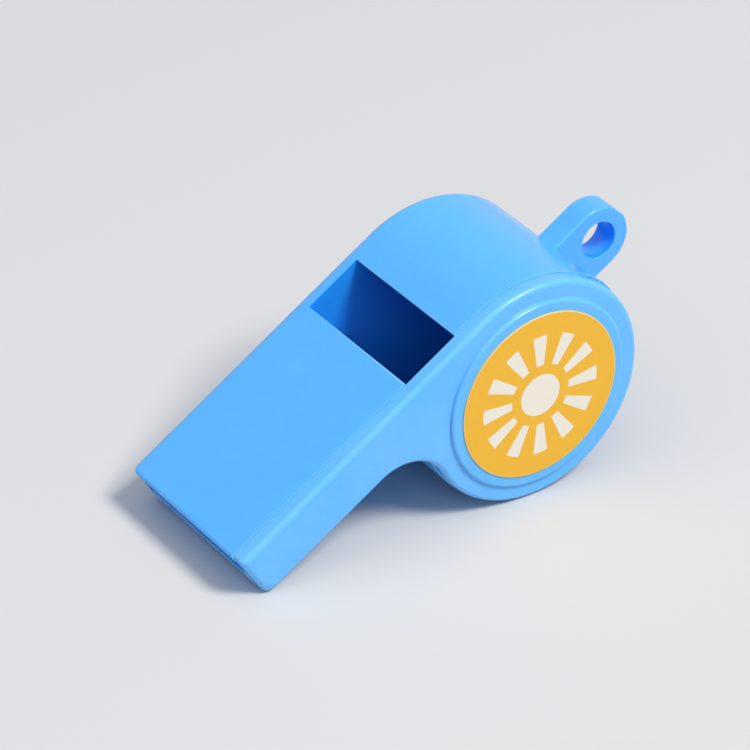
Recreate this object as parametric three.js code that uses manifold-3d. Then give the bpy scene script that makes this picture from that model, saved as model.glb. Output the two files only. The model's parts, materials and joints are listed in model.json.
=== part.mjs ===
// Plastic pea whistle, lying as it does on a table: the mouthpiece tip and the drum touch z = 0.
// Millimetres, +Z up. Each piece is drawn in the whistle's own axes, with the drum's axis on Y
// through the origin, the mouthpiece toward -X and its flat top facing +Z. One group then tips
// the whistle onto the table, with the middle of its footprint on the origin.
import * as THREE from 'three';
import { mergeVertices } from 'three/addons/utils/BufferGeometryUtils.js';
import Module from 'manifold-3d';

// Outside sizes
const DRUM_RADIUS = 12.25;
const MOUTH_LENGTH = 32.8;
const MOUTH_HEIGHT = 5.85;
const BODY_WIDTH = 20;
const NECK_RADIUS = 5;
const TIP_TOP_ROUND = 0.3;
const TIP_UNDER_ROUND = 0.8;

// Body walls and air passages
const DRUM_WALL = 1.45;
const FAR_WALL = 2;
const FAR_EDGE_ROUND = 1.4;
const ROOF = 1;
const WINDWAY_HEIGHT = 1.8;
const WINDOW_LENGTH = 6.6;
const WINDOW_SETBACK = 2.84;
const LIP_EDGE = 0.6;
const LIP_SLOPE_LENGTH = 5.6;

// Side cover
const COVER_THICKNESS = 1.5;
const COVER_INSET = 0.1;
const COVER_EDGE_ROUND = 0.9;
const SEAM_GAP = 0.3;
const RING_WIDTH = 0.9;
const RING_DEPTH = 1.2;
const RING_CLEARANCE = 0.3;

// Round pads on both sides, and the sticker on the near one
const PAD_SETBACK = 1.95;
const PAD_HEIGHT = 0.42;
const PAD_ROUND = 0.4;
const STICKER_MARGIN = 1.2;
const STICKER_THICKNESS = 0.12;
const STICKER_GAP = 0.1;

// Lanyard lug
const LUG_NEAR_FACE = -1.6;
const LUG_THICKNESS = 2.65;
const LUG_HOLE_RADIUS = 2;
const LUG_RING_WIDTH = 1.55;
const LUG_REACH = 3.5;
const LUG_ROOT_DEPTH = 0.9;

// Pea
const PEA_RADIUS = 5;
const PEA_CLEARANCE = 0.3;

// Fineness of the round forms
const DEGREES_PER_STEP = 6;
const ROUND_STEPS = 3;
const PEA_STEPS = 24;

// Places that follow from the sizes
const UNDERSIDE = DRUM_RADIUS - MOUTH_HEIGHT;
const TIP = -MOUTH_LENGTH;
const NEAR_FACE = -BODY_WIDTH / 2;
const FAR_FACE = BODY_WIDTH / 2;
const COVER_SEAM = NEAR_FACE + COVER_THICKNESS;
const BODY_SEAM = COVER_SEAM + SEAM_GAP;
const CHAMBER_END = FAR_FACE - FAR_WALL;
const CHAMBER_RADIUS = DRUM_RADIUS - DRUM_WALL;
const WINDOW_REAR = -WINDOW_SETBACK;
const WINDOW_FRONT = WINDOW_REAR - WINDOW_LENGTH;
const WINDWAY_TOP = DRUM_RADIUS - ROOF;
const WINDWAY_FLOOR = WINDWAY_TOP - WINDWAY_HEIGHT;
const PAD_RADIUS = DRUM_RADIUS - PAD_SETBACK;
const LUG_CENTRE = DRUM_RADIUS + LUG_REACH;
const LUG_RADIUS = LUG_HOLE_RADIUS + LUG_RING_WIDTH;
const PEA_ORBIT = CHAMBER_RADIUS - PEA_CLEARANCE - PEA_RADIUS;
const PEA_PLACE = (COVER_SEAM + CHAMBER_END) / 2;
const OVERCUT = 1;

// The table touches the round under the tip and the drum, so the tilt is that of their common tangent.
const tipRound = new THREE.Vector2(TIP + TIP_UNDER_ROUND, UNDERSIDE + TIP_UNDER_ROUND);
const tangentAngle = Math.asin((DRUM_RADIUS - TIP_UNDER_ROUND) / tipRound.length());
const REST_TILT = tangentAngle + Math.atan2(tipRound.y, -tipRound.x);

const wasm = await Module();
wasm.setup();

function toSolid(geometry) {
  const bare = geometry.clone();
  bare.deleteAttribute('normal');
  bare.deleteAttribute('uv');
  const closed = mergeVertices(bare, 1e-5);
  const vertProperties = new Float32Array(closed.attributes.position.array);
  const triVerts = new Uint32Array(closed.index.array);
  return new wasm.Manifold(new wasm.Mesh({ numProp: 3, vertProperties, triVerts }));
}

function toMesh(name, solid, material) {
  const { vertProperties, triVerts } = solid.getMesh();
  const geometry = new THREE.BufferGeometry();
  geometry.setAttribute('position', new THREE.BufferAttribute(vertProperties, 3));
  geometry.setIndex(new THREE.BufferAttribute(triVerts, 1));
  const flat = geometry.toNonIndexed();
  flat.computeVertexNormals();
  const mesh = new THREE.Mesh(flat, material);
  mesh.name = name;
  return mesh;
}

// Points of an arc in the XZ plane, from one angle to another, in degrees. Without a radius it is a corner.
function arc(x, z, radius, from, to) {
  if (radius === 0) {
    return [new THREE.Vector2(x, z)];
  }
  const steps = Math.max(2, Math.ceil(Math.abs(to - from) / DEGREES_PER_STEP));
  return Array.from({ length: steps + 1 }, (_, i) => {
    const angle = THREE.MathUtils.degToRad(from + ((to - from) * i) / steps);
    return new THREE.Vector2(x + radius * Math.cos(angle), z + radius * Math.sin(angle));
  });
}

// Side outline of the whistle: flat top, square tip, flat underside, hollow neck and round drum.
function sideOutline(inset, tipTopRound = 0, tipUnderRound = 0) {
  const radius = DRUM_RADIUS - inset;
  const under = UNDERSIDE + inset;
  const tip = TIP + inset;
  const neckZ = UNDERSIDE - NECK_RADIUS;
  const neckX = -Math.sqrt((DRUM_RADIUS + NECK_RADIUS) ** 2 - neckZ ** 2);
  const neckEnd = THREE.MathUtils.radToDeg(Math.atan2(neckZ, neckX));
  const points = [
    ...arc(tip + tipTopRound, radius - tipTopRound, tipTopRound, 90, 180),
    ...arc(tip + tipUnderRound, under + tipUnderRound, tipUnderRound, 180, 270),
    ...arc(neckX, neckZ, NECK_RADIUS + inset, 90, neckEnd - 180),
    ...arc(0, 0, radius, neckEnd, 450).slice(1),
  ];
  return new THREE.Shape(points);
}

// Extrudes an outline of the XZ plane from one Y to a farther one. A round softens both ends' edges.
function slab(shape, fromY, toY, round = 0) {
  const geometry = new THREE.ExtrudeGeometry(shape, {
    depth: toY - fromY - 2 * round,
    steps: 1,
    bevelEnabled: round > 0,
    bevelThickness: round,
    bevelSize: round,
    bevelOffset: -round,
    bevelSegments: ROUND_STEPS,
  });
  geometry.rotateX(Math.PI / 2);
  geometry.translate(0, toY - round, 0);
  return toSolid(geometry);
}

function box(minX, maxX, minY, maxY, minZ, maxZ) {
  const geometry = new THREE.BoxGeometry(maxX - minX, maxY - minY, maxZ - minZ);
  geometry.translate((minX + maxX) / 2, (minY + maxY) / 2, (minZ + maxZ) / 2);
  return toSolid(geometry);
}

function disc(radius, fromY, toY) {
  return slab(new THREE.Shape(arc(0, 0, radius, 0, 360).slice(1)), fromY, toY);
}

// Low round pad with a softened edge, standing out from a side face; outward is -1 or 1 along Y.
function pad(face, outward) {
  const rim = arc(PAD_RADIUS - PAD_ROUND, PAD_HEIGHT - PAD_ROUND, PAD_ROUND, 0, 90);
  const profile = [new THREE.Vector2(0, -OVERCUT), new THREE.Vector2(PAD_RADIUS, -OVERCUT)];
  profile.push(...rim, new THREE.Vector2(0, PAD_HEIGHT));
  const geometry = new THREE.LatheGeometry(profile, 360 / DEGREES_PER_STEP);
  geometry.rotateX(outward < 0 ? Math.PI : 0);
  geometry.translate(0, face, 0);
  return toSolid(geometry);
}

// One layer of the whistle between two Ys, with a round along its outer face and at the tip's corners.
function layer(inset, fromY, toY, round, roundedFace) {
  const reach = 2 * round;
  const start = roundedFace < 0 ? fromY : fromY - reach;
  const end = roundedFace < 0 ? toY + reach : toY;
  const corners = slab(sideOutline(inset, TIP_TOP_ROUND, TIP_UNDER_ROUND), fromY, toY);
  return slab(sideOutline(inset), start, end, round).intersect(corners);
}

// The opening in the roof and the straight-sided throat under it, down into the chamber.
function throat(fromY, toY, slack = 0) {
  return box(WINDOW_FRONT - slack, WINDOW_REAR + slack, fromY, toY, 0, DRUM_RADIUS + OVERCUT);
}

function buildBody() {
  const cutFrom = BODY_SEAM - OVERCUT;
  const chamber = disc(CHAMBER_RADIUS, cutFrom, CHAMBER_END);
  const windway = box(TIP - OVERCUT, WINDOW_FRONT + OVERCUT, cutFrom, CHAMBER_END, WINDWAY_FLOOR, WINDWAY_TOP);

  // Under the window's rear edge the roof thins to a lip that splits the air.
  const slopeEnd = WINDOW_REAR + LIP_SLOPE_LENGTH;
  const lipSlope = new THREE.Shape([
    new THREE.Vector2(WINDOW_REAR, DRUM_RADIUS - LIP_EDGE),
    new THREE.Vector2(WINDOW_REAR, 0),
    new THREE.Vector2(slopeEnd, 0),
    new THREE.Vector2(slopeEnd, Math.sqrt(CHAMBER_RADIUS ** 2 - slopeEnd ** 2)),
  ]);

  const lugOutline = new THREE.Shape([
    new THREE.Vector2(DRUM_RADIUS - LUG_ROOT_DEPTH, -LUG_RADIUS),
    ...arc(LUG_CENTRE, 0, LUG_RADIUS, -90, 90),
    new THREE.Vector2(DRUM_RADIUS - LUG_ROOT_DEPTH, LUG_RADIUS),
  ]);
  lugOutline.holes.push(new THREE.Path(arc(LUG_CENTRE, 0, LUG_HOLE_RADIUS, 360, 0).slice(1)));

  return layer(0, BODY_SEAM, FAR_FACE, FAR_EDGE_ROUND, 1)
    .add(pad(FAR_FACE, 1))
    .subtract(chamber)
    .subtract(windway)
    .subtract(throat(cutFrom, CHAMBER_END))
    .subtract(slab(lipSlope, cutFrom, CHAMBER_END))
    .add(slab(lugOutline, LUG_NEAR_FACE, LUG_NEAR_FACE + LUG_THICKNESS));
}

function buildCover() {
  // A ring on the inside seats in the chamber's mouth. It leaves the window's throat free.
  const ringRadius = CHAMBER_RADIUS - RING_CLEARANCE;
  const ringEnd = BODY_SEAM + RING_DEPTH;
  const ring = disc(ringRadius, COVER_SEAM - COVER_THICKNESS / 2, ringEnd)
    .subtract(disc(ringRadius - RING_WIDTH, COVER_SEAM - COVER_THICKNESS, ringEnd + OVERCUT))
    .subtract(throat(COVER_SEAM, ringEnd + OVERCUT, RING_CLEARANCE));

  return layer(COVER_INSET, NEAR_FACE, COVER_SEAM, COVER_EDGE_ROUND, -1)
    .add(pad(NEAR_FACE, -1))
    .add(ring);
}

function buildSticker() {
  const back = NEAR_FACE - PAD_HEIGHT - STICKER_GAP;
  return disc(PAD_RADIUS - STICKER_MARGIN, back - STICKER_THICKNESS, back);
}

const bluePlastic = { color: 0x62b8ff, roughness: 0.4, metalness: 0 };
const bodyPlastic = new THREE.MeshStandardMaterial(bluePlastic);
const coverPlastic = new THREE.MeshStandardMaterial(bluePlastic);
const stickerPaper = new THREE.MeshStandardMaterial({ color: 0xf3bc3c, roughness: 0.6, metalness: 0 });
const cork = new THREE.MeshStandardMaterial({ color: 0xc69a6b, roughness: 0.9, metalness: 0 });

const pea = toMesh('pea', toSolid(new THREE.SphereGeometry(PEA_RADIUS, PEA_STEPS, PEA_STEPS / 2)), cork);
pea.position.set(-PEA_ORBIT * Math.sin(REST_TILT), PEA_PLACE, -PEA_ORBIT * Math.cos(REST_TILT));

const tipped = new THREE.Group();
tipped.rotation.y = -REST_TILT;
tipped.add(
  toMesh('whistle_body', buildBody(), bodyPlastic),
  toMesh('side_cover', buildCover(), coverPlastic),
  toMesh('round_sticker', buildSticker(), stickerPaper),
  pea,
);

const whistle = new THREE.Group();
whistle.name = 'plastic_whistle';
whistle.add(tipped);
whistle.updateMatrixWorld(true);
const extent = new THREE.Box3().setFromObject(whistle, true);
const middle = extent.getCenter(new THREE.Vector3());
tipped.position.set(-middle.x, -middle.y, -extent.min.z);

export default whistle;
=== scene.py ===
"""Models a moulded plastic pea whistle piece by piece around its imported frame, and lights it."""

import json
import math

import bmesh
import bpy
from bpy.props import FloatProperty, FloatVectorProperty, PointerProperty
from bpy.types import Operator, Panel, PropertyGroup
from mathutils import Matrix, Quaternion, Vector


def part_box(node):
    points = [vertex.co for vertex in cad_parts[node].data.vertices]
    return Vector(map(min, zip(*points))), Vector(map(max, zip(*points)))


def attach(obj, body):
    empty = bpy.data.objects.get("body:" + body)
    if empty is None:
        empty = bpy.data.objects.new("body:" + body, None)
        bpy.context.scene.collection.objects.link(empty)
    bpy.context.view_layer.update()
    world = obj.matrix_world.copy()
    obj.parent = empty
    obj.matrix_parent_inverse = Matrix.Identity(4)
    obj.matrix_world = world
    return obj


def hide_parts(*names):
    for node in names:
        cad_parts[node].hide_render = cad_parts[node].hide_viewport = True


bl_info = {
    "name": "Plastic whistle",
    "version": (1, 0, 0),
    "blender": (4, 5, 0),
    "location": "3D View > Sidebar > Whistle",
    "description": "Models a moulded pea whistle, its sticker and its cork ball",
    "category": "Add Mesh",
}

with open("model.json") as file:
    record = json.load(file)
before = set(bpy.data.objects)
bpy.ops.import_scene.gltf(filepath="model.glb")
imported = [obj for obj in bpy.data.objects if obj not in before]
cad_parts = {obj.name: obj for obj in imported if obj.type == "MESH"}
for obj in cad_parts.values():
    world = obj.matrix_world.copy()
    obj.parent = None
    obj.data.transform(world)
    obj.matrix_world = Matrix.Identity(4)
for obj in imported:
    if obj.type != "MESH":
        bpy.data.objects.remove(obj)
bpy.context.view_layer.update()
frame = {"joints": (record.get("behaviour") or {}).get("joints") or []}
# The ball runs round the drum's own axis, so its joint says where that axis is.
DRUM_AXIS = Vector(frame["joints"][0]["pos_m"])
PEA_LOW, PEA_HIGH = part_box("pea")

MM = 0.001
# Points closer than this lie at the same place.
TOUCH = 0.001 * MM
# How far a cutter reaches past the surface that it cuts.
SPARE = 1 * MM
# Angles closer than this are the same.
SLACK_ANGLE = math.radians(0.1)
# Faces round a full circle
DRUM_STEPS = 180
NECK_STEPS = 120
LUG_STEPS = 96
# Faces across a rounded edge, from the finest rounds to the widest
HAIRLINE_STEPS = 2
EDGE_STEPS = 3
LUG_EDGE_STEPS = 4
TIP_STEPS = 5
PAD_RIM_STEPS = 6
OUTLINE_STEPS = 8
# How often the starting form of a ball is divided
BEAD_DIVISIONS = 3
BALL_DIVISIONS = 6
# Faces that meet at more than this many degrees are shaded with a crisp edge.
SHARP_BEND = 32
# Where the trimmed gate lies on the lug's ring, from the lug's own direction
GATE_ANGLES = (math.radians(3), math.radians(26))
# The mouldings' second material: a paler blue painted on thin edges as the highlight where they catch the
# light
EDGE_HIGHLIGHT_SLOT = 1
# Their third material: a deeper blue painted on the walls of the hollows as their shade, with the blue of
# light that has passed through the plastic
HOLLOW_SHADE_SLOT = 2
# The side plate's third finish, for its rounded rim
RIM_FINISH = 2
# Beads of weld along the seam by the lug: degrees from the lug's direction, and millimetres
WELD_BEADS = ((7, 0.3), (12, 0.36), (17, 0.24), (22, 0.3), (28, 0.2))
# A bead's reach out of the seam, across it and along it, as shares of its size
BEAD_SHAPE = (0.45, 0.7, 2.2)
# Roughness of the mouldings' faces and of the side plate's rim, and how far the sheen varies
POLISHED = 0.2
SATIN = 0.33
SHEEN_SPREAD = 0.06
# Thickness of the glue under the sticker and of the ink on it
GLUE = 0.004 * MM
INK = 0.01 * MM

# Grain of the materials: size of its patches, depth of its relief, and how far light reaches in
FLOW_PATCH = 9 * MM
RUB_PATCH = 1.4 * MM
PEEL_SIZE = 0.35 * MM
PEEL_DEPTH = 0.015 * MM
LIGHT_REACH = 0.8 * MM
FIBRE_SIZE = 0.5 * MM
FIBRE_DEPTH = 0.01 * MM
CORK_GRAIN = 0.6 * MM
CORK_GRAIN_DEPTH = 0.06 * MM
BOARD_HAZE = 60 * MM

# The table's side in metres, and the width of the camera's film in millimetres
TABLE_SIZE = 8
FILM_WIDTH = 36

# The print on the sticker, in millimetres from its middle
RAY_COUNT = 12
RAY_MIDDLE = 5.1
RAY_HALF_LENGTH = 1.7
CORE_RADIUS = 2.3
PAPER_MARGIN = 0.1
# A ray is where the cosine of its turn is above this, so it is a little narrower than its gap.
RAY_CUT = 0.1


def length(name, description, millimetres):
    """A length that a user can change, with its default in millimetres."""
    return FloatProperty(
        name=name, description=description, default=millimetres * MM, unit="LENGTH", precision=5
    )


def turn(name, description, degrees):
    """An angle that a user can change, with its default in degrees."""
    return FloatProperty(
        name=name, description=description, default=math.radians(degrees), unit="ROTATION"
    )


def linear(code):
    """An sRGB hex colour as linear red, green and blue, with full alpha."""
    channels = [int(code[i : i + 2], 16) / 255 for i in (1, 3, 5)]
    return (*[c / 12.92 if c <= 0.04045 else ((c + 0.055) / 1.055) ** 2.4 for c in channels], 1.0)


def colour(name, description, code):
    """A colour that a user can change, with its default as an sRGB hex value."""
    return FloatVectorProperty(
        name=name, description=description, default=linear(code), size=4, subtype="COLOR", min=0, max=1
    )


class WhistleSizes(PropertyGroup):
    """Real sizes of the whistle's pieces"""

    drum_radius: length("Drum radius", "From the drum's axis to its band", 12.25)
    mouth_length: length("Mouthpiece reach", "From the drum's axis to the tip", 32.8)
    mouth_height: length("Mouthpiece height", "From the underside to the flat top", 5.85)
    body_width: length("Width", "Over both side faces, without the pads", 20)
    neck_radius: length("Neck radius", "Hollow between the underside and the drum", 5)
    tip_top_round: length("Tip top round", "Round of the tip's top edge", 0.3)
    tip_under_round: length("Tip under round", "Round of the tip's lower edge", 0.8)
    drum_wall: length("Drum wall", "Thickness of the drum's band", 1.45)
    far_wall: length("Far wall", "Thickness of the side that is moulded with the body", 2)
    far_edge_round: length("Far edge round", "Round along the far side's outline", 1.4)
    roof: length("Roof", "Plastic above the windway", 0.8)
    windway_height: length("Windway height", "Height of the slit that the air is blown through", 1.9)
    window_length: length("Window length", "Length of the opening in the top", 6.6)
    window_setback: length("Window setback", "From the drum's axis to the window's rear edge", 2.84)
    window_edge_round: length("Window edge round", "Round of the window's outer edges", 0.17)
    slit_edge_round: length("Slit edge round", "Round of the windway's edges at the tip", 0.1)
    lip_edge: length("Lip edge", "Thickness of the lip that splits the air", 0.35)
    lip_slope: length("Lip slope", "Length over which the lip thickens to the drum's wall", 5.6)
    cover_thickness: length("Cover thickness", "Thickness of the side plate", 1.63)
    cover_inset: length("Cover inset", "Step from the body's outline in to the side plate's", 0.1)
    cover_edge_round: length("Cover edge round", "Round along the side plate's outline", 0.55)
    seam_gap: length("Seam gap", "Hairline between the body and the side plate", 0.006)
    seam_round: length("Seam round", "Round of both edges along the seam", 0.04)
    ring_width: length("Ring width", "Width of the locating ring inside the side plate", 0.9)
    ring_depth: length("Ring depth", "How far the locating ring stands into the drum", 1.2)
    ring_clearance: length("Ring clearance", "Gap round the locating ring", 0.3)
    pad_setback: length("Pad setback", "From the drum's outline in to the round pad", 1.95)
    pad_height: length("Pad height", "How far the round pad stands out", 0.42)
    pad_rim_round: length("Pad rim round", "Round of the pad's outer edge", 0.32)
    pad_root_round: length("Pad root round", "Hollow round at the pad's foot", 0.13)
    sticker_margin: length("Sticker margin", "Bare ring of the pad around the sticker", 1.2)
    sticker_thickness: length("Sticker thickness", "Paper with its print and glue", 0.14)
    sticker_edge_round: length("Sticker edge round", "Round of the cut paper edge", 0.05)
    lug_offset: length("Lug offset", "Lug's near face, from the middle of the body", -1.6)
    lug_thickness: length("Lug thickness", "Thickness of the lanyard lug", 2.9)
    lug_hole_radius: length("Lug hole radius", "Radius of the lanyard's hole", 2)
    lug_ring_width: length("Lug ring width", "Plastic around the lanyard's hole", 1.58)
    lug_reach: length("Lug reach", "From the drum's band to the middle of the hole", 3.55)
    lug_root: length("Lug root", "How deep the lug's foot sinks into the drum's band", 0.9)
    lug_edge_round: length("Lug edge round", "Round of the lug's outer edges", 0.22)
    lug_hole_round: length("Lug hole round", "Round of the hole's two edges", 0.1)
    cork_pit_depth: length("Cork pit depth", "Depth of the pits in the cork ball", 0.12)
    cork_pit_size: length("Cork pit size", "Spacing of the pits in the cork ball", 1.1)


class WhistleColours(PropertyGroup):
    """Colours of the pieces and of the table"""

    plastic: colour("Plastic", "Light blue dye of the body", "#56B5FF")
    plastic_deep: colour("Deep plastic", "The same dye where it gathers a little", "#51B1FF")
    # Painted paler than the body's dye, for the brighter light that falls on the side plate's face
    cover: colour("Cover", "The side plate's batch of the dye, a little paler", "#70C0FF")
    # Paler blue painted on thin edges, the window's and the seam's, as their highlight
    painted_edge_highlight: colour("Plastic edge", "Thin edges that catch the light", "#A4DEFF")
    # Deeper blue painted on the hollows' walls as their shade and the blue light that reaches them
    # through the plastic
    inside: colour("Inside", "The dye in the hollows, which light reaches through the plastic", "#269EFF")
    paper: colour("Paper", "Bare paper at the sticker's edge", "#DCC48C")
    print_ground: colour("Print ground", "Yellow-orange printed on the sticker", "#E9B012")
    print_motif: colour("Print motif", "Pale rays printed on the sticker", "#E6E1D2")
    cork: colour("Cork", "Body of the cork", "#B98A5A")
    cork_pit: colour("Cork pit", "Pores of the cork", "#6E4727")
    table: colour("Table", "Pale matt table", "#CDCECE")
    sky: colour("Sky", "Cool light all round, which tints the shadows", "#AFCFFF")
    lamp: colour("Lamp", "Warm light of both soft boxes", "#FFF8EE")
    room: colour("Room", "Pale room behind the table, as the eye and the reflections see it", "#E1E2E5")


class WhistleStage(PropertyGroup):
    """Camera and light"""

    azimuth: turn("Azimuth", "Camera's turn round the whistle, from -Y toward +X", -35.615)
    elevation: turn("Elevation", "Camera's height above the horizon", 32.813)
    roll: turn("Roll", "Camera's turn about its own line of sight", 1.822)
    distance: length("Distance", "From the camera to the point it aims at", 461.7)
    aim: FloatVectorProperty(
        name="Aim", description="Point in the middle of the view", subtype="TRANSLATION",
        default=(-0.42 * MM, 4.44 * MM, 9.54 * MM), precision=5,
    )
    lens: FloatProperty(name="Lens", description="Focal length in millimetres", default=225.4)
    lamp_distance: length("Lamp distance", "From the whistle to each soft box", 1400)
    key_size: length("Key size", "Side of the main soft box", 420)
    key_power: FloatProperty(name="Key power", description="Main soft box, in watts", default=17.3)
    key_way: FloatVectorProperty(
        name="Key direction", description="From the whistle to the main soft box",
        subtype="DIRECTION", default=(0.22, -0.54, 0.81),
    )
    ceiling_size: length("Ceiling size", "Side of the broad panel overhead", 2300)
    ceiling_power: FloatProperty(
        name="Ceiling power", description="Panel overhead, in watts", default=15.2
    )
    ceiling_way: FloatVectorProperty(
        name="Ceiling direction", description="From the whistle to the panel overhead",
        subtype="DIRECTION", default=(-0.34, -0.20, 0.92),
    )
    sky_strength: FloatProperty(name="Sky strength", description="Even light all round", default=0.32)


def deselect_all():
    bpy.ops.object.select_all(action="DESELECT")


def make_active(piece):
    deselect_all()
    piece.select_set(True)
    bpy.context.view_layer.objects.active = piece


def settle(name):
    """Names the primitive that was just added and applies its place."""
    piece = bpy.context.object
    piece.name = name
    piece.data.name = name
    bpy.ops.object.transform_apply(location=True, rotation=True, scale=True)
    return piece


def dress(piece, *materials):
    for material in materials:
        piece.data.materials.append(material)


def pick(piece, kind, test, bend=0):
    """In edit mode, selects the points, edges or faces that lie wholly where a test says.

    With a bend, in degrees, only edges whose faces meet at more than that are taken.
    """
    bpy.ops.mesh.select_mode(type=kind)
    bpy.ops.mesh.select_all(action="DESELECT")
    grid = bmesh.from_edit_mesh(piece.data)
    found = 0
    for element in {"VERT": grid.verts, "EDGE": grid.edges, "FACE": grid.faces}[kind]:
        points = [element.co] if kind == "VERT" else [v.co for v in element.verts]
        if bend and element.calc_face_angle(0) < math.radians(bend):
            continue
        if all(test(p) for p in points):
            element.select_set(True)
            found += 1
    grid.select_flush_mode()
    bmesh.update_edit_mesh(piece.data)
    if not found:
        raise RuntimeError(f"{piece.name}: no {kind.lower()} lies where it is looked for")


def soften(piece, radius, test, steps=EDGE_STEPS, bend=0, finish=-1):
    """Rounds the edges that lie wholly where a test says, in a material slot of their own if one is
    given, such as a painted highlight or the satin rim.
    """
    make_active(piece)
    bpy.ops.object.mode_set(mode="EDIT")
    pick(piece, "EDGE", test, bend)
    bpy.ops.mesh.bevel(
        offset=radius, segments=steps, profile=0.5, affect="EDGES", clamp_overlap=False, material=finish
    )
    bpy.ops.object.mode_set(mode="OBJECT")


def face_outwards(piece):
    make_active(piece)
    bpy.ops.object.mode_set(mode="EDIT")
    bpy.ops.mesh.select_all(action="SELECT")
    bpy.ops.mesh.normals_make_consistent(inside=False)
    bpy.ops.object.mode_set(mode="OBJECT")


def combine(piece, other, operation):
    """Unites a piece with another or cuts the other out of it, and removes the other."""
    make_active(piece)
    joiner = piece.modifiers.new(operation.lower(), "BOOLEAN")
    joiner.operation = operation
    joiner.solver = "EXACT"
    joiner.object = other
    bpy.ops.object.modifier_apply(modifier=joiner.name)
    bpy.data.objects.remove(other)


def hollow_out(piece, cutter):
    """Cuts a hollow out of a moulding and gives its walls the deeper blue painted as the hollows' shade.
    """
    dress(cutter, *piece.data.materials)
    cutter.active_material_index = HOLLOW_SHADE_SLOT
    make_active(cutter)
    bpy.ops.object.mode_set(mode="EDIT")
    bpy.ops.mesh.select_all(action="SELECT")
    bpy.ops.object.material_slot_assign()
    bpy.ops.object.mode_set(mode="OBJECT")
    combine(piece, cutter, "DIFFERENCE")


def add_bar(name, radius, from_y, to_y, x=0.0, z=0.0, steps=DRUM_STEPS):
    """Adds a round bar that lies along Y."""
    deselect_all()
    bpy.ops.mesh.primitive_cylinder_add(
        vertices=steps, radius=radius, depth=to_y - from_y,
        location=(x, (from_y + to_y) / 2, z), rotation=(math.pi / 2, 0, 0),
    )
    return settle(name)


def add_block(name, low, high):
    """Adds a block between its lowest and highest corner."""
    low, high = Vector(low), Vector(high)
    deselect_all()
    bpy.ops.mesh.primitive_cube_add(size=1, location=(low + high) / 2, scale=high - low)
    return settle(name)


def extrude(step):
    bpy.ops.mesh.extrude_region_move(TRANSFORM_OT_translate={"value": step})


def fill_outline(piece, thickness):
    """In edit mode, fills a closed outline and gives it a thickness along Y."""
    bpy.ops.mesh.select_all(action="SELECT")
    bpy.ops.mesh.edge_face_add()
    bpy.ops.mesh.select_all(action="SELECT")
    extrude((0, thickness, 0))
    bpy.ops.object.mode_set(mode="OBJECT")
    face_outwards(piece)


def add_side_plate(name, sizes, inset, from_y, to_y):
    """Adds a plate with the whistle's side outline: flat top, square tip, flat underside, neck, drum."""
    drum = sizes.drum_radius - inset
    neck = sizes.neck_radius + inset
    underside = sizes.drum_radius - sizes.mouth_height
    tip = inset - sizes.mouth_length
    neck_z = underside - sizes.neck_radius
    neck_x = -math.sqrt((sizes.drum_radius + sizes.neck_radius) ** 2 - neck_z**2)
    # The neck's arc and the drum's meet on the line between their centres.
    meeting = math.atan2(neck_z, neck_x)
    quarter = math.pi / 2 + SLACK_ANGLE

    deselect_all()
    bpy.ops.mesh.primitive_circle_add(
        vertices=DRUM_STEPS, radius=drum, location=(0, from_y, 0), rotation=(math.pi / 2, 0, 0)
    )
    plate = settle(name)
    bpy.ops.object.mode_set(mode="EDIT")
    pick(plate, "VERT", lambda p: quarter < math.atan2(p.z, p.x) < meeting)
    bpy.ops.mesh.delete(type="VERT")

    bpy.ops.mesh.primitive_circle_add(
        vertices=NECK_STEPS, radius=neck, location=(neck_x, from_y, neck_z), rotation=(math.pi / 2, 0, 0)
    )

    def off_the_neck(p):
        on_circle = abs(math.hypot(p.x - neck_x, p.z - neck_z) - neck) < TOUCH
        angle = math.atan2(p.z - neck_z, p.x - neck_x)
        return on_circle and not meeting - math.pi < angle < quarter

    pick(plate, "VERT", off_the_neck)
    bpy.ops.mesh.delete(type="VERT")

    pick(plate, "VERT", lambda p: abs(p.x) < TOUCH and p.z > 0)
    extrude((tip, 0, 0))
    extrude((0, 0, 2 * inset - sizes.mouth_height))
    extrude((neck_x - tip, 0, 0))
    bpy.ops.mesh.select_all(action="SELECT")
    bpy.ops.mesh.remove_doubles(threshold=TOUCH)

    grid = bmesh.from_edit_mesh(plate.data)
    for point in grid.verts:
        point.select_set(len(point.link_edges) == 1)
    grid.select_flush_mode()
    bmesh.update_edit_mesh(plate.data)
    bpy.ops.mesh.edge_face_add()
    fill_outline(plate, to_y - from_y)
    return plate


def round_tip(plate, sizes, inset, side_round):
    """Rounds the tip's top and lower edge, with the mitres where they run into the side's round."""
    tip = inset - sizes.mouth_length
    top = sizes.drum_radius - inset
    under = sizes.drum_radius - sizes.mouth_height + inset
    end = tip + side_round + TOUCH
    soften(
        plate, sizes.tip_top_round,
        test=lambda p: p.x < end and abs((p.x - tip) - (top - p.z)) < TOUCH,
    )
    soften(
        plate, sizes.tip_under_round, steps=TIP_STEPS,
        test=lambda p: p.x < end and abs((p.x - tip) - (p.z - under)) < TOUCH,
    )


def add_pad(plate, sizes, face, outward):
    """Unites a low round pad with a side face: softened rim, and a small hollow round at its foot."""
    radius = sizes.drum_radius - sizes.pad_setback
    rim = face + outward * sizes.pad_height
    sunk = face - outward * sizes.pad_height
    pad = add_bar("pad", radius, min(rim, sunk), max(rim, sunk))
    soften(pad, sizes.pad_rim_round, lambda p: abs(p.y - rim) < TOUCH, steps=PAD_RIM_STEPS)
    combine(plate, pad, "UNION")
    soften(
        plate, sizes.pad_root_round,
        test=lambda p: abs(p.y - face) < TOUCH and abs(math.hypot(p.x, p.z) - radius) < TOUCH,
    )


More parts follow.
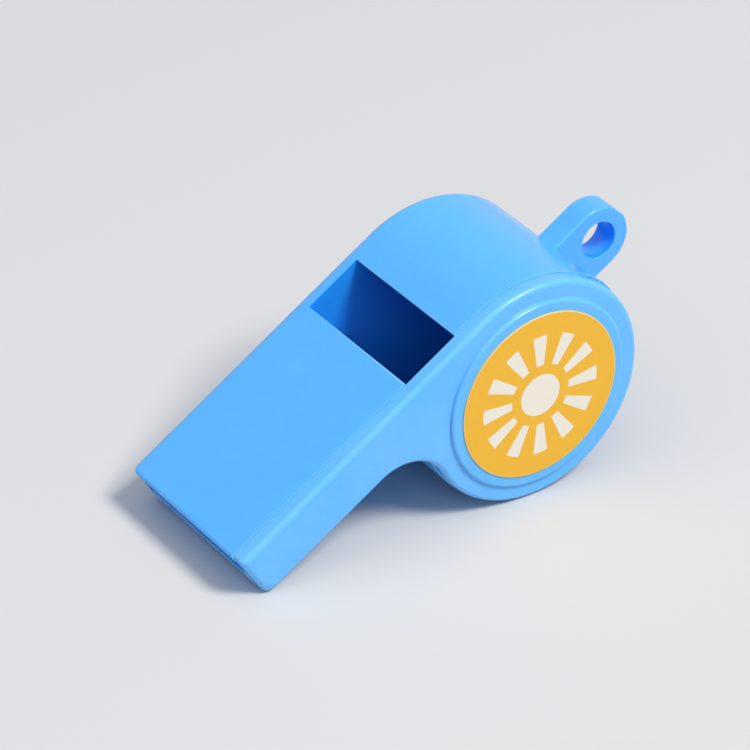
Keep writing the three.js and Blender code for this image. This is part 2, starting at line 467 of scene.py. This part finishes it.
def add_lug(sizes, plastics):
    """Adds the lanyard lug: a ring with straight flanks that run down into the drum's band."""
    middle = sizes.drum_radius + sizes.lug_reach
    near = sizes.lug_offset
    far = near + sizes.lug_thickness
    deselect_all()
    bpy.ops.mesh.primitive_circle_add(
        vertices=LUG_STEPS, radius=sizes.lug_hole_radius + sizes.lug_ring_width,
        location=(middle, near, 0), rotation=(math.pi / 2, 0, 0),
    )
    lug = settle("lug")
    bpy.ops.object.mode_set(mode="EDIT")
    pick(lug, "VERT", lambda p: p.x < middle - TOUCH)
    bpy.ops.mesh.delete(type="VERT")
    pick(lug, "VERT", lambda p: p.x < middle + TOUCH)
    extrude((-(sizes.lug_reach + sizes.lug_root), 0, 0))
    # A short flat shows where the gate was trimmed off.
    gate_from, gate_to = GATE_ANGLES
    pick(lug, "VERT", lambda p: p.x > middle and gate_from < math.atan2(p.z, p.x - middle) < gate_to)
    bpy.ops.mesh.delete(type="VERT")
    step = 2 * math.pi / LUG_STEPS
    pick(
        lug, "VERT",
        lambda p: p.x > middle and gate_from - step < math.atan2(p.z, p.x - middle) < gate_to + step,
    )
    bpy.ops.mesh.edge_face_add()
    fill_outline(lug, sizes.lug_thickness)
    hole = add_bar(
        "hole", sizes.lug_hole_radius, near - SPARE, far + SPARE, x=middle, steps=LUG_STEPS
    )
    dress(lug, *plastics)
    # The hole's wall gets the painted shade of the hollows.
    hollow_out(lug, hole)

    def on_hole(p):
        return math.hypot(p.x - middle, p.z) < sizes.lug_hole_radius + TOUCH

    soften(lug, sizes.lug_hole_round, on_hole, bend=SHARP_BEND)
    soften(
        lug, sizes.lug_edge_round, steps=LUG_EDGE_STEPS, bend=SHARP_BEND,
        test=lambda p: min(abs(p.y - near), abs(p.y - far)) < TOUCH
        and math.hypot(p.x - middle, p.z) > sizes.lug_hole_radius + sizes.lug_hole_round + TOUCH,
    )
    return lug


def add_weld_bead(angle, size, radius, seam):
    """Adds a small bead of plastic that the weld squeezed out of the seam, drawn out along the rim."""
    deselect_all()
    bpy.ops.mesh.primitive_ico_sphere_add(
        subdivisions=BEAD_DIVISIONS, radius=size, scale=BEAD_SHAPE, rotation=(0, -angle, 0),
        location=(radius * math.cos(angle), seam + size / 2, radius * math.sin(angle)),
    )
    return settle("weld_bead")


def resting_place(sizes):
    """The turn and shift that lay the whistle, drawn about its drum's axis, on the table.

    The table touches the drum and the round under the tip, so the tilt is that of their common tangent.
    """
    round_x = sizes.tip_under_round - sizes.mouth_length
    round_z = sizes.drum_radius - sizes.mouth_height + sizes.tip_under_round
    slope = math.asin((sizes.drum_radius - sizes.tip_under_round) / math.hypot(round_x, round_z))
    tilt = slope + math.atan2(round_z, -round_x)
    return Matrix.Translation(DRUM_AXIS) @ Matrix.Rotation(-tilt, 4, "Y")


def close_up(piece):
    """Merges the points that the cuts left at the same place, and makes sure that no gap is left."""
    make_active(piece)
    bpy.ops.object.mode_set(mode="EDIT")
    bpy.ops.mesh.select_all(action="SELECT")
    bpy.ops.mesh.remove_doubles(threshold=TOUCH)
    bpy.ops.mesh.select_mode(type="EDGE")
    bpy.ops.mesh.select_all(action="DESELECT")
    bpy.ops.mesh.select_non_manifold()
    gaps = sum(edge.select for edge in bmesh.from_edit_mesh(piece.data).edges)
    bpy.ops.object.mode_set(mode="OBJECT")
    if gaps:
        raise RuntimeError(f"{piece.name}: {gaps} edges don't join two faces")


def shade(piece):
    """Shades rounds smoothly and keeps the flats between them flat."""
    make_active(piece)
    bpy.ops.object.shade_smooth_by_angle(angle=math.radians(SHARP_BEND))
    flats = piece.modifiers.new("flats", "WEIGHTED_NORMAL")
    flats.keep_sharp = True
    bpy.ops.object.modifier_apply(modifier=flats.name)


def finish_piece(piece, place, node, body):
    """Lays a piece in its place and ties it to the node that it stands for."""
    make_active(piece)
    piece.matrix_world = place
    bpy.ops.object.transform_apply(location=True, rotation=True, scale=True)
    close_up(piece)
    shade(piece)
    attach(piece, body)
    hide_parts(node)


def add_node(tree, kind, inputs=None, **settings):
    """Adds a node with its settings, and fills its sockets with values or with other nodes' outputs."""
    node = tree.nodes.new(kind)
    for name, value in settings.items():
        setattr(node, name, value)
    for name, value in (inputs or {}).items():
        if isinstance(value, bpy.types.NodeSocket):
            tree.links.new(value, node.inputs[name])
        else:
            node.inputs[name].default_value = value
    return node


def start_material(name):
    """A new material with an empty node tree, and its object coordinates."""
    material = bpy.data.materials.new(name)
    material.use_nodes = True
    tree = material.node_tree
    tree.nodes.clear()
    places = add_node(tree, "ShaderNodeTexCoord").outputs["Object"]
    return material, tree, places


def end_material(tree, shader):
    add_node(tree, "ShaderNodeOutputMaterial", {"Surface": shader.outputs["BSDF"]})


def per_metre(size):
    """A noise scale whose patches have a given size."""
    return 1 / size


def moulded_abs(name, dye, deep_dye, roughness=POLISHED):
    """Dyed ABS, injection-moulded in a polished steel tool.

    It gives an even satin blue with a soft gloss, and lets a little light through thin walls. Faint
    flow patches vary its depth and its sheen, and a fine orange-peel grain breaks up the reflections.
    """
    material, tree, places = start_material(name)
    flow = add_node(
        tree, "ShaderNodeTexNoise", {"Vector": places, "Scale": per_metre(FLOW_PATCH), "Detail": 2.0}
    )
    patches = add_node(
        tree, "ShaderNodeMix", {0: flow.outputs["Fac"], 6: dye, 7: deep_dye}, data_type="RGBA"
    )
    rub = add_node(
        tree, "ShaderNodeTexNoise", {"Vector": places, "Scale": per_metre(RUB_PATCH), "Detail": 4.0}
    )
    sheen = add_node(
        tree, "ShaderNodeMapRange",
        {"Value": rub.outputs["Fac"], "To Min": roughness, "To Max": roughness + SHEEN_SPREAD},
    )
    peel = add_node(
        tree, "ShaderNodeTexNoise", {"Vector": places, "Scale": per_metre(PEEL_SIZE), "Detail": 2.0}
    )
    relief = add_node(
        tree, "ShaderNodeBump",
        {"Height": peel.outputs["Fac"], "Strength": 0.2, "Distance": PEEL_DEPTH},
    )
    shader = add_node(
        tree, "ShaderNodeBsdfPrincipled",
        {
            "Base Color": patches.outputs[2],
            "Roughness": sheen.outputs["Result"],
            "Normal": relief.outputs["Normal"],
            "IOR": 1.54,
            "Subsurface Weight": 0.6,
            "Subsurface Radius": (0.1, 0.3, 1.0),
            "Subsurface Scale": LIGHT_REACH,
        },
    )
    end_material(tree, shader)
    return material


def printed_paper(name, colours, place, sticker_radius):
    """Coated paper, offset printed and die cut: a satin yellow-orange with pale rays.

    A narrow bare edge shows where the die cut the paper, and fine fibres mottle the print.
    """
    material, tree, places = start_material(name)
    # Millimetres from the drum's axis, in the whistle's own axes.
    centred = add_node(
        tree, "ShaderNodeMapping",
        {
            "Vector": places,
            "Location": place.translation,
            "Rotation": place.to_euler(),
            "Scale": (MM, MM, MM),
        },
        vector_type="TEXTURE",
    )
    across = add_node(
        tree, "ShaderNodeVectorMath", {0: centred.outputs[0], 1: (1.0, 0.0, 1.0)}, operation="MULTIPLY"
    )
    away = add_node(
        tree, "ShaderNodeVectorMath", {0: across.outputs[0]}, operation="LENGTH"
    ).outputs["Value"]
    axes = add_node(tree, "ShaderNodeSeparateXYZ", {0: across.outputs[0]})
    angle = add_node(
        tree, "ShaderNodeMath", {0: axes.outputs["Z"], 1: axes.outputs["X"]}, operation="ARCTAN2"
    )
    turns = add_node(tree, "ShaderNodeMath", {0: angle.outputs[0], 1: RAY_COUNT}, operation="MULTIPLY")
    wave = add_node(tree, "ShaderNodeMath", {0: turns.outputs[0]}, operation="COSINE")
    ray = add_node(tree, "ShaderNodeMath", {0: wave.outputs[0], 1: RAY_CUT}, operation="GREATER_THAN")
    ring = add_node(
        tree, "ShaderNodeMath", {0: away, 1: RAY_MIDDLE, 2: RAY_HALF_LENGTH}, operation="COMPARE"
    )
    rays = add_node(
        tree, "ShaderNodeMath", {0: ray.outputs[0], 1: ring.outputs[0]}, operation="MULTIPLY"
    )
    core = add_node(tree, "ShaderNodeMath", {0: away, 1: CORE_RADIUS}, operation="LESS_THAN")
    motif = add_node(
        tree, "ShaderNodeMath", {0: rays.outputs[0], 1: core.outputs[0]}, operation="MAXIMUM"
    )
    print_radius = sticker_radius / MM - PAPER_MARGIN
    cut_edge = add_node(
        tree, "ShaderNodeMath", {0: away, 1: print_radius}, operation="GREATER_THAN"
    )
    print_colour = add_node(
        tree, "ShaderNodeMix", {0: motif.outputs[0], 6: colours.print_ground, 7: colours.print_motif},
        data_type="RGBA",
    )
    fibre = add_node(
        tree, "ShaderNodeTexNoise", {"Vector": places, "Scale": per_metre(FIBRE_SIZE), "Detail": 5.0}
    )
    mottle = add_node(
        tree, "ShaderNodeMapRange", {"Value": fibre.outputs["Fac"], "To Min": 0.0, "To Max": 0.05}
    )
    mottled = add_node(
        tree, "ShaderNodeMix",
        {0: mottle.outputs["Result"], 6: print_colour.outputs[2], 7: colours.print_motif},
        data_type="RGBA",
    )
    surface = add_node(
        tree, "ShaderNodeMix", {0: cut_edge.outputs[0], 6: mottled.outputs[2], 7: colours.paper},
        data_type="RGBA",
    )
    relief = add_node(
        tree, "ShaderNodeBump",
        {"Height": fibre.outputs["Fac"], "Strength": 0.25, "Distance": FIBRE_DEPTH},
    )
    shader = add_node(
        tree, "ShaderNodeBsdfPrincipled",
        {
            "Base Color": surface.outputs[2],
            "Roughness": 0.5,
            "Normal": relief.outputs["Normal"],
            "IOR": 1.45,
        },
    )
    end_material(tree, shader)
    return material


def pressed_cork(name, colours, pit_size):
    """Natural cork, ground to a ball: matt tan with darker pores and streaks."""
    material, tree, places = start_material(name)
    pores = add_node(tree, "ShaderNodeTexVoronoi", {"Vector": places, "Scale": per_metre(pit_size)})
    pore = add_node(
        tree, "ShaderNodeMapRange",
        {
            "Value": pores.outputs["Distance"],
            "From Min": 0.1,
            "From Max": 0.4,
            "To Min": 0.8,
            "To Max": 0.0,
        },
    )
    grain = add_node(
        tree, "ShaderNodeTexNoise", {"Vector": places, "Scale": per_metre(CORK_GRAIN), "Detail": 6.0}
    )
    streaks = add_node(
        tree, "ShaderNodeMath", {0: pore.outputs["Result"], 1: grain.outputs["Fac"]},
        operation="MULTIPLY",
    )
    bark = add_node(
        tree, "ShaderNodeMix", {0: streaks.outputs[0], 6: colours.cork, 7: colours.cork_pit},
        data_type="RGBA",
    )
    relief = add_node(
        tree, "ShaderNodeBump",
        {"Height": grain.outputs["Fac"], "Strength": 0.6, "Distance": CORK_GRAIN_DEPTH},
    )
    shader = add_node(
        tree, "ShaderNodeBsdfPrincipled",
        {
            "Base Color": bark.outputs[2],
            "Roughness": 0.85,
            "Normal": relief.outputs["Normal"],
        },
    )
    end_material(tree, shader)
    return material


def matt_board(name, colours):
    """Painted board under the whistle: pale, matt and even."""
    material, tree, places = start_material(name)
    haze = add_node(
        tree, "ShaderNodeTexNoise", {"Vector": places, "Scale": per_metre(BOARD_HAZE), "Detail": 1.0}
    )
    dull = add_node(
        tree, "ShaderNodeMapRange", {"Value": haze.outputs["Fac"], "To Min": 0.75, "To Max": 0.85}
    )
    shader = add_node(
        tree, "ShaderNodeBsdfPrincipled",
        {"Base Color": colours.table, "Roughness": dull.outputs["Result"], "Specular IOR Level": 0.2},
    )
    end_material(tree, shader)
    return material


class WHISTLE_OT_body(Operator):
    """Moulds the body in one: mouthpiece, drum band, far side wall and lanyard lug"""

    bl_idname = "whistle.body"
    bl_label = "Body"

    def execute(self, context):
        sizes = context.scene.whistle_sizes
        top = sizes.drum_radius
        tip = -sizes.mouth_length
        far = sizes.body_width / 2
        seam = sizes.cover_thickness + sizes.seam_gap - far
        chamber_end = far - sizes.far_wall
        chamber_radius = sizes.drum_radius - sizes.drum_wall
        window_rear = -sizes.window_setback
        window_front = window_rear - sizes.window_length
        windway_top = top - sizes.roof
        windway_floor = windway_top - sizes.windway_height
        slope_end = window_rear + sizes.lip_slope

        colours = context.scene.whistle_colours
        body = add_side_plate("moulded_body", sizes, 0.0, seam, far)
        plastics = (
            moulded_abs("blue_moulded_abs_body", colours.plastic, colours.plastic_deep),
            # Second material: the paler blue painted on thin edges as their highlight
            moulded_abs("blue_abs_painted_edge_highlight_body", colours.painted_edge_highlight, colours.plastic),
            moulded_abs("blue_abs_painted_hollow_shade", colours.inside, colours.inside),
        # Third material: the deeper blue painted as the hollows' shade
        )
        dress(body, *plastics)
        soften(body, sizes.far_edge_round, lambda p: p.y > far - TOUCH, steps=OUTLINE_STEPS)
        round_tip(body, sizes, 0.0, sizes.far_edge_round)
        # The seam's rounds get the painted highlight.
        soften(
            body, sizes.seam_round, lambda p: p.y < seam + TOUCH,
            steps=HAIRLINE_STEPS, finish=EDGE_HIGHLIGHT_SLOT,
        )
        add_pad(body, sizes, far, 1)

        cut_from = seam - SPARE
        # The walls of the chamber, windway, throat and slope get the painted shade of the hollows.
        hollow_out(body, add_bar("chamber", chamber_radius, cut_from, chamber_end))
        windway = add_block(
            "windway",
            (tip - SPARE, cut_from, windway_floor),
            (window_front + SPARE, chamber_end, windway_top),
        )
        hollow_out(body, windway)
        throat = add_block(
            "throat", (window_front, cut_from, 0), (window_rear, chamber_end, top + SPARE)
        )
        hollow_out(body, throat)

        # The roof thins to a lip behind the window, so the cutter's top slopes down to the drum's wall.
        # It starts a little way inside the window, with its top a little above the lip's edge there.
        lip = top - sizes.lip_edge
        fall = (math.sqrt(chamber_radius**2 - slope_end**2) - lip) / sizes.lip_slope
        slope = add_block("slope", (window_rear - SPARE, cut_from, 0), (slope_end, chamber_end, lip))
        bpy.ops.object.mode_set(mode="EDIT")
        pick(slope, "VERT", lambda p: p.x > slope_end - TOUCH and p.z > TOUCH)
        bpy.ops.transform.translate(value=(0, 0, fall * sizes.lip_slope))
        pick(slope, "VERT", lambda p: p.x < window_rear and p.z > TOUCH)
        bpy.ops.transform.translate(value=(0, 0, -fall * SPARE))
        bpy.ops.object.mode_set(mode="OBJECT")
        hollow_out(body, slope)

        # The window's front and rear edges get the painted highlight.
        for edge_x in (window_front, window_rear):
            soften(
                body, sizes.window_edge_round, bend=SHARP_BEND, finish=EDGE_HIGHLIGHT_SLOT,
                test=lambda p: abs(p.z - top) < TOUCH
                and abs(p.x - edge_x) < TOUCH
                and p.y < chamber_end + TOUCH,
            )
        soften(
            body, sizes.slit_edge_round, steps=HAIRLINE_STEPS, bend=SHARP_BEND,
            test=lambda p: abs(p.x - tip) < TOUCH
            and windway_floor - TOUCH < p.z < windway_top + TOUCH
            and p.y < chamber_end + TOUCH,
        )

        combine(body, add_lug(sizes, plastics), "UNION")
        for angle, size in WELD_BEADS:
            bead = add_weld_bead(math.radians(angle), size * MM, sizes.drum_radius, seam)
            combine(body, bead, "UNION")
        finish_piece(body, resting_place(sizes), "whistle_body", "whistle")
        return {"FINISHED"}


class WHISTLE_OT_cover(Operator):
    """Moulds the side plate with its round pad and the locating ring on its inside"""

    bl_idname = "whistle.cover"
    bl_label = "Side plate"

    def execute(self, context):
        sizes = context.scene.whistle_sizes
        near = -sizes.body_width / 2
        seam = near + sizes.cover_thickness
        colours = context.scene.whistle_colours
        plate = add_side_plate("side_plate", sizes, sizes.cover_inset, near, seam)
        # The side plate's blue, on its face and on its satin rim, is painted paler for the brighter light
        # on that side.
        dress(
            plate,
            moulded_abs("blue_abs_cover_painted_paler", colours.cover, colours.plastic),
            moulded_abs("blue_abs_painted_edge_highlight_cover", colours.painted_edge_highlight, colours.plastic),
            moulded_abs("blue_abs_satin_rim", colours.cover, colours.plastic, SATIN),
        )
        soften(
            plate, sizes.cover_edge_round, lambda p: p.y < near + TOUCH,
            steps=OUTLINE_STEPS, finish=RIM_FINISH,
        )
        round_tip(plate, sizes, sizes.cover_inset, sizes.cover_edge_round)
        # The seam's rounds get the painted highlight.
        soften(
            plate, sizes.seam_round, lambda p: p.y > seam - TOUCH,
            steps=HAIRLINE_STEPS, finish=EDGE_HIGHLIGHT_SLOT,
        )
        add_pad(plate, sizes, near, -1)

        outer = sizes.drum_radius - sizes.drum_wall - sizes.ring_clearance
        sunk = seam - sizes.cover_thickness / 2
        end = seam + sizes.seam_gap + sizes.ring_depth
        window_rear = -sizes.window_setback
        ring = add_bar("ring", outer, sunk, end)
        combine(ring, add_bar("core", outer - sizes.ring_width, sunk - SPARE, end + SPARE), "DIFFERENCE")
        throat = add_block(
            "throat",
            (window_rear - sizes.window_length - sizes.ring_clearance, sunk - SPARE, 0),
            (window_rear + sizes.ring_clearance, end + SPARE, sizes.drum_radius),
        )
        combine(ring, throat, "DIFFERENCE")
        combine(plate, ring, "UNION")
        finish_piece(plate, resting_place(sizes), "side_cover", "whistle")
        return {"FINISHED"}


class WHISTLE_OT_sticker(Operator):
    """Cuts the round paper sticker and lays it on the pad"""

    bl_idname = "whistle.sticker"
    bl_label = "Sticker"

    def execute(self, context):
        sizes = context.scene.whistle_sizes
        radius = sizes.drum_radius - sizes.pad_setback - sizes.sticker_margin
        back = -sizes.body_width / 2 - sizes.pad_height - GLUE
        front = back - sizes.sticker_thickness
        sticker = add_bar("paper_sticker", radius, front, back)
        soften(sticker, sizes.sticker_edge_round, lambda p: p.y < front + TOUCH)
        # The coat and the ink lie a hair prouder than the cut edge.
        bpy.ops.object.mode_set(mode="EDIT")
        pick(sticker, "FACE", lambda p: p.y < front + TOUCH)
        bpy.ops.mesh.inset(thickness=PAPER_MARGIN * MM)
        bpy.ops.transform.translate(value=(0, -INK, 0))
        bpy.ops.object.mode_set(mode="OBJECT")
        place = resting_place(sizes)
        colours = context.scene.whistle_colours
        dress(sticker, printed_paper("printed_coated_paper", colours, place, radius))
        finish_piece(sticker, place, "round_sticker", "whistle")
        return {"FINISHED"}


class WHISTLE_OT_pea(Operator):
    """Grinds the cork ball that whirls inside the drum"""

    bl_idname = "whistle.pea"
    bl_label = "Cork ball"

    def execute(self, context):
        sizes = context.scene.whistle_sizes
        colours = context.scene.whistle_colours
        deselect_all()
        bpy.ops.mesh.primitive_ico_sphere_add(
            subdivisions=BALL_DIVISIONS,
            radius=(PEA_HIGH.y - PEA_LOW.y) / 2,
            location=(PEA_LOW + PEA_HIGH) / 2,
        )
        ball = settle("cork_ball")
        pits = bpy.data.textures.new("cork_pits", "VORONOI")
        pits.noise_scale = sizes.cork_pit_size
        # The pits only sink in, so the ball stays as wide as the drum leaves room for.
        dents = ball.modifiers.new("pits", "DISPLACE")
        dents.texture = pits
        dents.texture_coords = "LOCAL"
        dents.mid_level = 1.0
        dents.strength = sizes.cork_pit_depth
        bpy.ops.object.modifier_apply(modifier=dents.name)
        dress(ball, pressed_cork("ground_cork", colours, sizes.cork_pit_size))
        finish_piece(ball, Matrix.Identity(4), "pea", "pea")
        return {"FINISHED"}


def add_lamp(stage, tint, way, size, power):
    """Adds a square soft box that looks at the whistle."""
    way = Vector(way).normalized()
    bpy.ops.object.light_add(
        type="AREA", location=way * stage.lamp_distance, rotation=way.to_track_quat("Z", "Y").to_euler()
    )
    lamp = bpy.context.object.data
    lamp.shape = "SQUARE"
    lamp.size = size
    lamp.energy = power
    lamp.color = tint[:3]


class WHISTLE_OT_stage(Operator):
    """Sets the table, the soft light and the camera"""

    bl_idname = "whistle.stage"
    bl_label = "Stage"

    def execute(self, context):
        scene = context.scene
        stage = scene.whistle_stage
        colours = scene.whistle_colours
        deselect_all()
        bpy.ops.mesh.primitive_plane_add(size=TABLE_SIZE)
        table = settle("table")
        dress(table, matt_board("painted_board", colours))

        world = bpy.data.worlds.new("soft_room")
        scene.world = world
        world.use_nodes = True
        tree = world.node_tree
        tree.nodes.clear()
        # The eye and the reflections see a pale room. Matt surfaces get the even light.
        rays = add_node(tree, "ShaderNodeLightPath")
        seen = add_node(
            tree, "ShaderNodeMath",
            {0: rays.outputs["Is Camera Ray"], 1: rays.outputs["Is Glossy Ray"]}, operation="MAXIMUM",
        )
        even = add_node(
            tree, "ShaderNodeBackground", {"Strength": stage.sky_strength, "Color": colours.sky}
        )
        room = add_node(tree, "ShaderNodeBackground", {"Strength": 1.0, "Color": colours.room})
        both = add_node(
            tree, "ShaderNodeMixShader", {0: seen.outputs[0], 1: even.outputs[0], 2: room.outputs[0]}
        )
        add_node(tree, "ShaderNodeOutputWorld", {"Surface": both.outputs[0]})

        add_lamp(stage, colours.lamp, stage.key_way, stage.key_size, stage.key_power)
        add_lamp(stage, colours.lamp, stage.ceiling_way, stage.ceiling_size, stage.ceiling_power)

        azimuth, elevation = stage.azimuth, stage.elevation
        back = Vector(
            (
                math.sin(azimuth) * math.cos(elevation),
                -math.cos(azimuth) * math.cos(elevation),
                math.sin(elevation),
            )
        )
        pose = back.to_track_quat("Z", "Y") @ Quaternion((0, 0, 1), stage.roll)
        bpy.ops.object.camera_add(
            location=Vector(stage.aim) + back * stage.distance, rotation=pose.to_euler()
        )
        camera = context.object
        camera.data.sensor_width = FILM_WIDTH
        camera.data.lens = stage.lens
        camera.data.clip_start = 10 * MM
        scene.camera = camera
        scene.view_settings.view_transform = "Standard"
        return {"FINISHED"}


class WHISTLE_PT_panel(Panel):
    """Sizes, colours and pieces of the whistle"""

    bl_idname = "WHISTLE_PT_panel"
    bl_label = "Plastic whistle"
    bl_space_type = "VIEW_3D"
    bl_region_type = "UI"
    bl_category = "Whistle"

    def draw(self, context):
        layout = self.layout
        for operator in OPERATORS:
            layout.operator(operator.bl_idname)
        for group in (
            context.scene.whistle_sizes, context.scene.whistle_colours, context.scene.whistle_stage
        ):
            column = layout.column(align=True)
            for name in group.bl_rna.properties.keys():
                if name not in ("rna_type", "name"):
                    column.prop(group, name)


OPERATORS = (WHISTLE_OT_body, WHISTLE_OT_cover, WHISTLE_OT_sticker, WHISTLE_OT_pea, WHISTLE_OT_stage)
CLASSES = (WhistleSizes, WhistleColours, WhistleStage, *OPERATORS, WHISTLE_PT_panel)


def register():
    for cls in CLASSES:
        bpy.utils.register_class(cls)
    bpy.types.Scene.whistle_sizes = PointerProperty(type=WhistleSizes)
    bpy.types.Scene.whistle_colours = PointerProperty(type=WhistleColours)
    bpy.types.Scene.whistle_stage = PointerProperty(type=WhistleStage)


def unregister():
    del bpy.types.Scene.whistle_stage
    del bpy.types.Scene.whistle_colours
    del bpy.types.Scene.whistle_sizes
    for cls in reversed(CLASSES):
        bpy.utils.unregister_class(cls)


def main():
    register()
    bpy.ops.whistle.body()
    bpy.ops.whistle.cover()
    bpy.ops.whistle.sticker()
    bpy.ops.whistle.pea()
    bpy.ops.whistle.stage()


if __name__ == "__main__":
    main()
